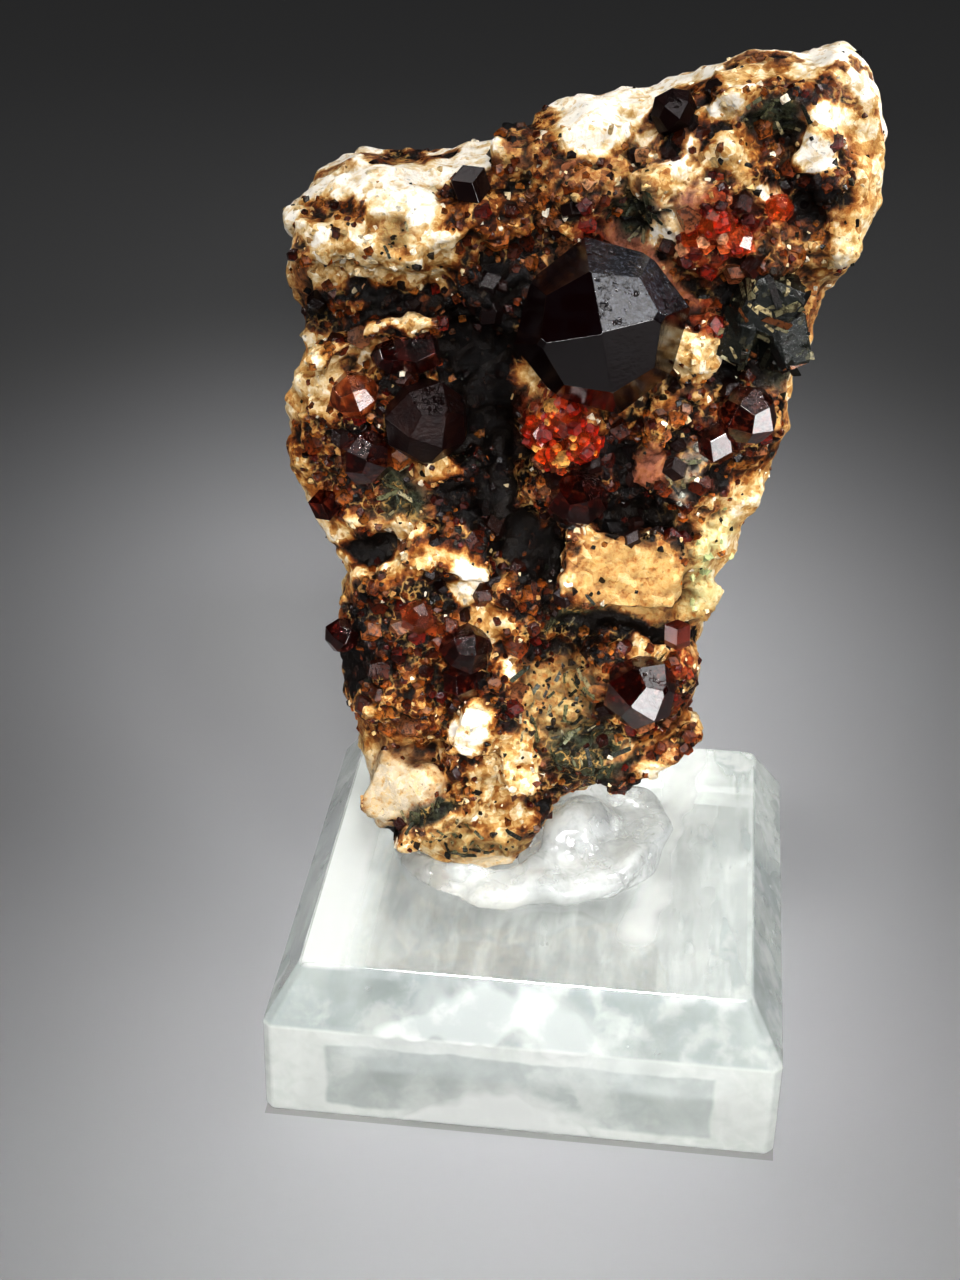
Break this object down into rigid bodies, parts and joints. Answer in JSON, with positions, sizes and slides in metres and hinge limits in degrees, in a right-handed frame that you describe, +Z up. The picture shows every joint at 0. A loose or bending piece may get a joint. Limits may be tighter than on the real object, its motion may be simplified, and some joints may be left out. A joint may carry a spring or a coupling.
{
  "type": "garnet in matrix",
  "caption": "Garnet crystals in a tall, leaning piece of rock, glued to a clear square display block with a bevelled top.",
  "frame": {"origin": "centre of the display block's underside, which rests on the table", "axes": "+Z up, +Y towards the back, +X to the right of someone who looks at the crystal face"},
  "size_m": [0.0411, 0.0382, 0.0752],
  "materials": {
    "clear_block": "polished",
    "glue": "gloss",
    "rock": "matte",
    "dark_garnet": "gloss",
    "red_garnet": "gloss",
    "orange_garnet": "gloss",
    "brown_garnet": "gloss",
    "dark_crystal": "satin"
  },
  "bodies": {
    "root": {"display_base": "clear_block", "adhesive_mount": "glue", "matrix_rock": "rock", "garnet_main": "dark_garnet", "garnet_left_dark": "dark_garnet", "garnet_left_upper": "red_garnet", "garnet_left_bright": "brown_garnet", "garnet_left_lower": "red_garnet", "garnet_left_edge": "red_garnet", "garnet_glowing_cluster": "orange_garnet", "garnet_centre_lower": "red_garnet", "garnet_right": "red_garnet", "garnet_lower_right": "red_garnet", "garnet_right_small": "brown_garnet", "garnet_lower_left": "red_garnet", "garnet_brown": "brown_garnet", "garnet_lower_left_edge": "red_garnet", "garnet_top_left": "dark_garnet", "garnet_top": "dark_garnet", "garnet_upper_right": "orange_garnet", "garnet_rim": "orange_garnet", "dark_crystals_right": "dark_crystal"}
  },
  "joints": []
}
